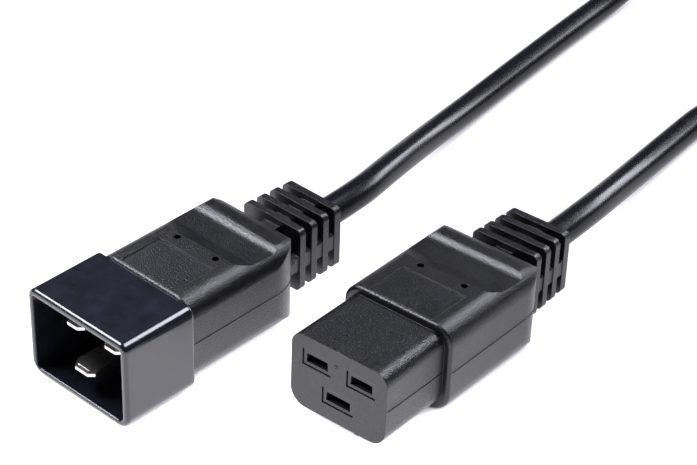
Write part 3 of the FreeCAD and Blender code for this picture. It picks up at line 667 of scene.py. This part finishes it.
def finish_with(material, *pieces):
    """Give CAD pieces, by name, or pieces made here their finish."""
    for piece in pieces:
        if isinstance(piece, str):
            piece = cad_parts[piece]
        if not piece.material_slots:
            piece.data.materials.append(material)
        for slot in piece.material_slots:
            slot.material = material


POLES = ("live", "neutral", "earth")
made_here = [cord, band, head, stub, carrier] + pvc_details
print("pieces made here that need a finish:", len(made_here))

# %% [markdown]
# ## Soft PVC from a spark-eroded tool
# The overmoulds are soft black PVC. The tool is spark-eroded, so the part takes over a fine even
# grain that scatters the light: flat tops look dull, while rounded edges show a broad bright
# band made of small glints. The mating face comes from a ground insert and stays smoother. Real
# grain of this kind is about 0.1 mm, and it is drawn at 0.38 mm so that it shows. A high
# roughness alone would give the dull tops, but only bump gives the glints.


# %% Spark-eroded soft PVC
def spark_eroded_soft_pvc(name, rear):
    """Black soft PVC with a spark-eroded grain, smoother on the mating face."""
    grain_width, grain_depth = 0.38 * MM, 0.14 * MM
    cloud_width = 7.0 * MM
    crisp_edge, soft_edge = 0.2 * MM, 2.4 * MM
    material, shader = new_material(name, IOR=1.50)
    place = add_node(material, "ShaderNodeTexCoord").outputs
    grain = add_node(material, "ShaderNodeTexNoise",
                     {"Scale": 1 / grain_width, "Detail": 2.0},
                     {"Vector": place["Object"]}).outputs["Fac"]
    cloud = add_node(material, "ShaderNodeTexNoise",
                     {"Scale": 1 / cloud_width, "Detail": 3.0},
                     {"Vector": place["Object"]}).outputs["Fac"]
    # the colour follows the grain and is a shade lighter on its tips: grain tone, and partly
    # painted glints
    tone = add_node(material, "ShaderNodeValToRGB",
                    {"color_ramp": ((0.50, "#040405"), (0.74, "#232329"))},
                    {"Fac": grain}).outputs["Color"]
    roughness = add_node(material, "ShaderNodeMapRange", {"To Min": 0.25, "To Max": 0.37},
                         {"Value": cloud}).outputs["Result"]
    # faces that look straight at the mate, within some ten degrees, come from the ground insert
    facing = add_node(material, "ShaderNodeSeparateXYZ",
                      links={"Vector": place["Normal"]}).outputs["Y"]
    strength = add_node(material, "ShaderNodeMapRange",
                        {"From Min": -0.995, "From Max": -0.97, "To Min": 0.1, "To Max": 1.0},
                        {"Value": facing}).outputs["Result"]
    # the rear corners flow into the top, so their edges are softer than the rest
    soft_from, soft_full = rear - 9.5 * MM, rear - 7.0 * MM
    crisp_from, crisp_full = rear + 0.6 * MM, rear + 1.6 * MM
    along = add_node(material, "ShaderNodeSeparateXYZ",
                     links={"Vector": place["Object"]}).outputs["Y"]
    softening = add_node(material, "ShaderNodeMapRange",
                         {"From Min": soft_from, "From Max": soft_full,
                          "To Min": crisp_edge, "To Max": soft_edge},
                         {"Value": along}).outputs["Result"]
    hardening = add_node(material, "ShaderNodeMapRange",
                         {"From Min": crisp_from, "From Max": crisp_full,
                          "To Min": soft_edge, "To Max": crisp_edge},
                         {"Value": along}).outputs["Result"]
    softness = add_node(material, "ShaderNodeMath", {"operation": "MINIMUM"},
                        {0: softening, 1: hardening}).outputs["Value"]
    edge = add_node(material, "ShaderNodeBevel", {"samples": 4},
                    {"Radius": softness}).outputs["Normal"]
    bump = add_node(material, "ShaderNodeBump", {"Distance": grain_depth},
                    {"Height": grain, "Strength": strength, "Normal": edge}).outputs["Normal"]
    feed(material, shader, Base_Color=tone, Roughness=roughness, Normal=bump)
    return material


for end, place in (("c19", C19_PLACE), ("c20", C20_PLACE)):
    rear_place = (place @ Vector((0, BODY_REAR * MM, 0))).y
    soft_pvc = spark_eroded_soft_pvc("spark_eroded_soft_pvc_" + end, rear_place)
    details = [piece for piece in pvc_details if piece.name.startswith(end)]
    finish_with(soft_pvc, end + "_overmould", *details)
    print(soft_pvc.name, "on", 1 + len(details), "pieces")

# %% [markdown]
# ## Glass-filled polyamide of the carrier
# The carrier that holds the contacts must stay stiff and stand heat, so it is polyamide filled
# with short glass fibres, moulded. The fibres roughen its skin: it looks matt dark grey, with
# faint marks of the flow. Each of these could have a pattern of its own. Here one distorted
# noise drives colour, roughness and bump together, because on a real part all three come from
# the same fibres.


# %% Moulded polyamide
def moulded_filled_polyamide():
    """Dark grey glass-filled polyamide, matt with faint flow marks."""
    flow_width, flow_depth = 1.6 * MM, 0.03 * MM
    edge_radius = 0.15 * MM
    material, shader = new_material("moulded_filled_polyamide", IOR=1.53)
    place = add_node(material, "ShaderNodeTexCoord").outputs["Object"]
    flow = add_node(material, "ShaderNodeTexNoise",
                    {"Scale": 1 / flow_width, "Detail": 4.0, "Distortion": 1.5},
                    {"Vector": place}).outputs["Fac"]
    tone = add_node(material, "ShaderNodeValToRGB",
                    {"color_ramp": ((0.3, "#18191c"), (0.7, "#222327"))},
                    {"Fac": flow}).outputs["Color"]
    roughness = add_node(material, "ShaderNodeMapRange", {"To Min": 0.36, "To Max": 0.48},
                         {"Value": flow}).outputs["Result"]
    edge = add_node(material, "ShaderNodeBevel",
                    {"samples": 4, "Radius": edge_radius}).outputs["Normal"]
    bump = add_node(material, "ShaderNodeBump", {"Strength": 0.25, "Distance": flow_depth},
                    {"Height": flow, "Normal": edge}).outputs["Normal"]
    feed(material, shader, Base_Color=tone, Roughness=roughness, Normal=bump)
    return material


finish_with(moulded_filled_polyamide(), carrier)
print("carrier: moulded polyamide")

# %% [markdown]
# ## Polycarbonate of the shroud
# The shroud of the C20 is polycarbonate from a polished tool: almost a black mirror with a cold
# tint, and it has picked up hair-fine scratches in handling. Scratches could be drawn one by
# one. Here a noise is stretched along one slanting direction and only its peaks are kept, which
# gives thin lines of all lengths. A wide soft edge in the shader makes the long edges shine.


# %% Polished polycarbonate
def polished_black_polycarbonate():
    """Bluish black polycarbonate from a polished tool, with hair-fine scratches."""
    # a real scratch is a few hundredths of a millimetre wide, drawn coarser so that it shows
    scratch_length, scratch_width, scratch_reach = 3.5 * MM, 0.3 * MM, 2.0 * MM
    scratch_slant = math.radians(-28)
    scratch_depth = 0.01 * MM
    haze_width = 5.0 * MM
    edge_radius = 0.9 * MM
    material, shader = new_material("polished_black_polycarbonate", IOR=1.585)
    place = add_node(material, "ShaderNodeTexCoord").outputs["Object"]
    turned = add_node(material, "ShaderNodeMapping",
                      {"Rotation": (0, 0, scratch_slant),
                       "Scale": (1 / scratch_length, 1 / scratch_width, 1 / scratch_reach)},
                      {"Vector": place}).outputs["Vector"]
    stretched = add_node(material, "ShaderNodeTexNoise", {"Scale": 1.0, "Detail": 1.0},
                         {"Vector": turned}).outputs["Fac"]
    scratch = add_node(material, "ShaderNodeMapRange", {"From Min": 0.66, "From Max": 0.80},
                       {"Value": stretched}).outputs["Result"]
    haze = add_node(material, "ShaderNodeTexNoise", {"Scale": 1 / haze_width, "Detail": 3.0},
                    {"Vector": place}).outputs["Fac"]
    tone = add_node(material, "ShaderNodeValToRGB",
                    {"color_ramp": ((0.3, "#131419"), (0.7, "#1b1d26"))},
                    {"Fac": haze}).outputs["Color"]
    polish = add_node(material, "ShaderNodeMapRange", {"To Min": 0.12, "To Max": 0.2},
                      {"Value": haze}).outputs["Result"]
    # a scratch adds to the roughness of the polish round it
    worn = add_node(material, "ShaderNodeMath", {"operation": "MULTIPLY_ADD", 1: 0.12},
                    {0: scratch, 2: polish}).outputs["Value"]
    edge = add_node(material, "ShaderNodeBevel",
                    {"samples": 8, "Radius": edge_radius}).outputs["Normal"]
    bump = add_node(material, "ShaderNodeBump", {"Strength": 0.3, "Distance": scratch_depth},
                    {"Height": scratch, "Normal": edge}).outputs["Normal"]
    feed(material, shader, Base_Color=tone, Roughness=worn, Normal=bump)
    return material


finish_with(polished_black_polycarbonate(), "c20_shroud")
print("shroud: polished polycarbonate")

# %% [markdown]
# ## Metal
# The blades are brass, stamped, nickel-plated and bright. The rolling direction shows as fine
# lines along the blade. The contacts inside the C19 are folded from bare brass strip, yellower
# and duller. A metal takes its colour from the base colour alone, so its IOR is left as it is.
# Anisotropic gloss could stand for the rolling lines. Drawn lines are used here, because they
# still show as lines from close by.


# %% Rolled and plated metal
def rolled_metal(name, dark, light, brightest, dullest):
    """Metal with fine rolling lines along the connector, between two roughnesses."""
    # rolling lines are microns apart, drawn 0.15 mm apart so that they show
    line_spacing, line_length, line_depth = 0.15 * MM, 6.0 * MM, 0.01 * MM
    stain_width = 2.5 * MM
    edge_radius = 0.12 * MM
    material, shader = new_material(name, Metallic=1.0)
    place = add_node(material, "ShaderNodeTexCoord").outputs["Object"]
    drawn = add_node(material, "ShaderNodeMapping",
                     {"Scale": (1 / line_spacing, 1 / line_length, 1 / line_spacing)},
                     {"Vector": place}).outputs["Vector"]
    lines = add_node(material, "ShaderNodeTexNoise", {"Scale": 1.0, "Detail": 2.0},
                     {"Vector": drawn}).outputs["Fac"]
    stain = add_node(material, "ShaderNodeTexNoise", {"Scale": 1 / stain_width, "Detail": 3.0},
                     {"Vector": place}).outputs["Fac"]
    tone = add_node(material, "ShaderNodeValToRGB", {"color_ramp": ((0.3, dark), (0.7, light))},
                    {"Fac": stain}).outputs["Color"]
    roughness = add_node(material, "ShaderNodeMapRange", {"To Min": brightest, "To Max": dullest},
                         {"Value": lines}).outputs["Result"]
    edge = add_node(material, "ShaderNodeBevel",
                    {"samples": 4, "Radius": edge_radius}).outputs["Normal"]
    bump = add_node(material, "ShaderNodeBump", {"Strength": 0.25, "Distance": line_depth},
                    {"Height": lines, "Normal": edge}).outputs["Normal"]
    feed(material, shader, Base_Color=tone, Roughness=roughness, Normal=bump)
    return material


nickel = rolled_metal("rolled_nickel_plated_brass", "#cfccc6", "#dbd8d2", 0.20, 0.30)
brass = rolled_metal("folded_brass_strip", "#b08a45", "#cda75c", 0.28, 0.42)
finish_with(nickel, *["c20_%s_blade" % pole for pole in POLES])
finish_with(brass, *["c19_%s_contact" % pole for pole in POLES])
nickel_shader = nickel.node_tree.nodes["Principled BSDF"]
print("metals: 2, IOR left at", nickel_shader.inputs["IOR"].default_value)

# %% [markdown]
# ## Cord and cores
# The sheath is extruded PVC. The die leaves it smoother than the overmould, with a slow waver
# along its length, so its highlight is one soft streak. The skin is faintly bloomed and mirrors
# less than its IOR alone would give, so the specular level is low, and the lit table hardly
# shows in the side of the cord. Under the overmoulds lie the three cores, extruded in their
# colours, so one function makes the sheath and the cores. They only show when the model is
# opened.


# %% Extruded PVC
def extruded_pvc(name, dark, light, glossiest, dullest, waver_depth):
    """Extruded PVC: even colour, soft gloss and the slow waver of the die."""
    waver_length, scuff_width, scuff_depth = 6.0 * MM, 0.8 * MM, 0.006 * MM
    material, shader = new_material(name, IOR=1.53, Specular_IOR_Level=0.14)
    place = add_node(material, "ShaderNodeTexCoord").outputs["Object"]
    waver = add_node(material, "ShaderNodeTexNoise", {"Scale": 1 / waver_length, "Detail": 1.0},
                     {"Vector": place}).outputs["Fac"]
    scuff = add_node(material, "ShaderNodeTexNoise", {"Scale": 1 / scuff_width, "Detail": 3.0},
                     {"Vector": place}).outputs["Fac"]
    tone = add_node(material, "ShaderNodeValToRGB", {"color_ramp": ((0.3, dark), (0.7, light))},
                    {"Fac": scuff}).outputs["Color"]
    roughness = add_node(material, "ShaderNodeMapRange", {"To Min": glossiest, "To Max": dullest},
                         {"Value": scuff}).outputs["Result"]
    wavering = add_node(material, "ShaderNodeBump", {"Strength": 1.0, "Distance": waver_depth},
                        {"Height": waver}).outputs["Normal"]
    fine = add_node(material, "ShaderNodeBump", {"Strength": 0.3, "Distance": scuff_depth},
                    {"Height": scuff, "Normal": wavering}).outputs["Normal"]
    feed(material, shader, Base_Color=tone, Roughness=roughness, Normal=fine)
    return material


sheath = extruded_pvc("extruded_black_pvc", "#0a0a0e", "#131318", 0.23, 0.31, 0.04 * MM)
finish_with(sheath, cord)
for pole, dark, light in (("live", "#5b2f17", "#6d3a1e"), ("neutral", "#1f4f9e", "#2a60b4")):
    core_pvc = extruded_pvc("extruded_%s_core_pvc" % pole, dark, light, 0.3, 0.4, 0.02 * MM)
    finish_with(core_pvc, "c19_%s_core" % pole, "c20_%s_core" % pole)
print("sheath and two cores: extruded PVC")

# %% [markdown]
# ## Earth core and copper
# The earth core is green with a yellow stripe that is extruded into it, with a crisp border.
# Inside every core lies a bunch of bare copper wires, each 0.2 mm thick, which glitter in fine
# slanting lines. Stripes and wires repeat evenly, so a wave texture draws both. Its bands are
# 0.314 of a unit apart, and the scale makes that the real spacing. Single wires could be
# modelled, but they would cost thousands of faces inside a closed part.


# %% The striped earth core
def striped_core_pvc():
    """Green PVC with a yellow stripe extruded into it, in crisp bands of even gloss."""
    # 0.314 of this is the spacing of the stripes, about 3 mm
    wave_unit = 9.4 * MM
    material, shader = new_material("co_extruded_striped_pvc", IOR=1.53)
    place = add_node(material, "ShaderNodeTexCoord").outputs["Object"]
    stripe = add_node(material, "ShaderNodeTexWave",
                      {"Scale": 1 / wave_unit, "bands_direction": "X", "Distortion": 0.3},
                      {"Vector": place}).outputs["Fac"]
    tone = add_node(material, "ShaderNodeValToRGB",
                    {"color_ramp": ((0.48, "#1f7a34"), (0.52, "#e0c81c"))},
                    {"Fac": stripe}).outputs["Color"]
    roughness = add_node(material, "ShaderNodeMapRange", {"To Min": 0.32, "To Max": 0.38},
                         {"Value": stripe}).outputs["Result"]
    feed(material, shader, Base_Color=tone, Roughness=roughness)
    return material


finish_with(striped_core_pvc(), "c19_earth_core", "c20_earth_core")
print("earth cores: 2")


# %% The stranded copper
def stranded_bare_copper():
    """Bunch of drawn copper wires, laid with a slow twist, that glitters in slanting lines."""
    wire_width, wire_depth = 0.2 * MM, 0.05 * MM
    lay_angle = math.radians(20)
    material, shader = new_material("stranded_bare_copper", Metallic=1.0)
    place = add_node(material, "ShaderNodeTexCoord").outputs["Object"]
    laid = add_node(material, "ShaderNodeMapping", {"Rotation": (0, 0, lay_angle)},
                    {"Vector": place}).outputs["Vector"]
    strands = add_node(material, "ShaderNodeTexWave",
                       {"Scale": 0.314 / wire_width, "bands_direction": "X"},
                       {"Vector": laid}).outputs["Fac"]
    tone = add_node(material, "ShaderNodeValToRGB",
                    {"color_ramp": ((0.3, "#8a4a2a"), (0.7, "#d98a5c"))},
                    {"Fac": strands}).outputs["Color"]
    roughness = add_node(material, "ShaderNodeMapRange", {"To Min": 0.45, "To Max": 0.28},
                         {"Value": strands}).outputs["Result"]
    bump = add_node(material, "ShaderNodeBump", {"Distance": wire_depth},
                    {"Height": strands}).outputs["Normal"]
    feed(material, shader, Base_Color=tone, Roughness=roughness, Normal=bump)
    return material


conductors = ["%s_%s_conductor" % (end, pole) for end in ("c19", "c20") for pole in POLES]
finish_with(stranded_bare_copper(), *conductors)
print("conductors:", len(conductors))

# %% [markdown]
# ## Nylon of the tie
# A cable tie is moulded from nylon in one shot, and its skin is slightly uneven where the
# plastic shrank: a soft satin black. A fine noise of half a millimetre is enough for that, and
# a pattern along the band isn't needed, because a tie has no grain.


# %% Moulded nylon
def moulded_nylon():
    """Black nylon, satin and slightly uneven."""
    skin_width, skin_depth = 0.5 * MM, 0.02 * MM
    material, shader = new_material("moulded_black_nylon", IOR=1.53)
    place = add_node(material, "ShaderNodeTexCoord").outputs["Object"]
    skin = add_node(material, "ShaderNodeTexNoise", {"Scale": 1 / skin_width, "Detail": 3.0},
                    {"Vector": place}).outputs["Fac"]
    tone = add_node(material, "ShaderNodeValToRGB",
                    {"color_ramp": ((0.3, "#1d1e20"), (0.7, "#2a2b2e"))},
                    {"Fac": skin}).outputs["Color"]
    roughness = add_node(material, "ShaderNodeMapRange", {"To Min": 0.42, "To Max": 0.55},
                         {"Value": skin}).outputs["Result"]
    bump = add_node(material, "ShaderNodeBump", {"Strength": 0.4, "Distance": skin_depth},
                    {"Height": skin}).outputs["Normal"]
    feed(material, shader, Base_Color=tone, Roughness=roughness, Normal=bump)
    return material


finish_with(moulded_nylon(), band, head, stub)
print("tie pieces: 3")

# %% [markdown]
# ## The table
# Catalogue pictures of black parts are taken on a table of opal acrylic lit from below. The
# ground comes out white with no shadow, and the black sides mirror it as mid grey. A white
# table under a bright room would be white too, but it would cast shadows. Here the table's
# glow is emission painted into its material, with no lamp under it. It fades from the front
# backwards, and where the lead touches the table a painted contact shadow holds it down, which
# leaves a thin dark line of contact.

# %% Opal table
TABLE_HALF_WIDTH = 6.0
CONTACT_REACH = 6.0 * MM
GLOW_FRONT, GLOW_BACK = 2.25, 1.1
FADE_START, FADE_END = -50 * MM, 35 * MM

floor_data = bpy.data.meshes.new("opal_table")
floor_mesh = bmesh.new()
bmesh.ops.create_grid(floor_mesh, x_segments=1, y_segments=1, size=TABLE_HALF_WIDTH)
floor_mesh.to_mesh(floor_data)
floor_mesh.free()
floor = bpy.data.objects.new("opal_table", floor_data)
bpy.context.scene.collection.objects.link(floor)
opal, opal_shader = new_material("opal_acrylic", Base_Color=linear("#404040"), Roughness=0.8,
                                 Emission_Color=linear("#f8f7ff"))
# painted contact shadow: an occlusion test dims the table's glow where the lead lies on it
open_sky = add_node(opal, "ShaderNodeAmbientOcclusion",
                    {"samples": 12, "Distance": CONTACT_REACH}).outputs["AO"]
painted_contact_shadow = add_node(opal, "ShaderNodeMapRange", {"From Min": 0.10, "From Max": 0.42, "To Min": 0.02},
                 {"Value": open_sky}).outputs["Result"]
over_table = add_node(opal, "ShaderNodeTexCoord").outputs["Object"]
backwards = add_node(opal, "ShaderNodeSeparateXYZ", links={"Vector": over_table}).outputs["Y"]
# painted glow: the emission is strongest at the front of the table and fades backwards
fading = add_node(opal, "ShaderNodeMapRange",
                  {"From Min": FADE_START, "From Max": FADE_END,
                   "To Min": GLOW_FRONT, "To Max": GLOW_BACK},
                  {"Value": backwards}).outputs["Result"]
glow = add_node(opal, "ShaderNodeMath", {"operation": "MULTIPLY"},
                {0: painted_contact_shadow, 1: fading}).outputs["Value"]
feed(opal, opal_shader, Emission_Strength=glow)
floor.data.materials.append(opal)
floor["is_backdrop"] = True
print("table glows from %.2f in front to %.2f behind" % (GLOW_FRONT, GLOW_BACK))

# %% [markdown]
# ## Lights in a dark room
# Above the table the room is dark, so the tops stay black, and three lights draw the bright
# bands. A softbox high behind the lead lights the long rounded edges. A low strip light behind
# it draws the streak along the cord. A softbox overhead, to the left, lights the front edges
# and the thumb recess. A bright room would light the lead as well, but then every face would
# be grey. On a glossy black part a band appears only where a face mirrors a light to the
# camera, so each light stands where one kind of edge needs it.

# %% Three lights
# name, direction from the lead, width and height in metres, and radiance
LIGHTS = (("rear_softbox", (0.18, 0.49, 0.85), 0.50, 0.30, 16.0),
          ("low_strip_light", (0.10, 0.95, 0.30), 0.42, 0.17, 21.0),
          ("overhead_softbox", (-0.55, -0.14, 0.82), 0.62, 0.32, 26.0))
LIGHT_DISTANCE = 0.9
LEAD_MIDDLE = Vector((-0.02, 0.0, 0.015))


def softbox(name, direction, width, height, radiance):
    """Rectangular light that faces the lead, from a direction, with an even radiance."""
    data = bpy.data.lights.new(name, "AREA")
    data.shape = "RECTANGLE"
    data.size, data.size_y = width, height
    data.energy = radiance * math.pi * width * height
    data.color = linear("#f2f3ff")[:3]
    lamp = bpy.data.objects.new(name, data)
    away = Vector(direction).normalized()
    lamp.matrix_world = (Matrix.Translation(LEAD_MIDDLE + away * LIGHT_DISTANCE)
                         @ away.to_track_quat("Z", "Y").to_matrix().to_4x4())
    bpy.context.scene.collection.objects.link(lamp)


for light in LIGHTS:
    softbox(*light)
print("lights:", len(LIGHTS), "over a lit table")

# %% The dark room
world = bpy.data.worlds.new("dark_room")
bpy.context.scene.world = world
world.use_nodes = True
room = world.node_tree.nodes["Background"]
room.inputs["Color"].default_value = linear("#e8ecff")
room.inputs["Strength"].default_value = 0.04
# the standard transform shows a hex colour as it was picked
bpy.context.scene.view_settings.view_transform = "Standard"
print("room light: %.2f" % room.inputs["Strength"].default_value)

# %% [markdown]
# ## Finish
# The box of the dressed lead is printed at the end, so that its size can be seen.

# %% The box of the dressed lead
visual_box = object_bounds()
box_mm = [[round(value / MM, 1) for value in corner] for corner in visual_box]
print("box from", box_mm[0], "to", box_mm[1])
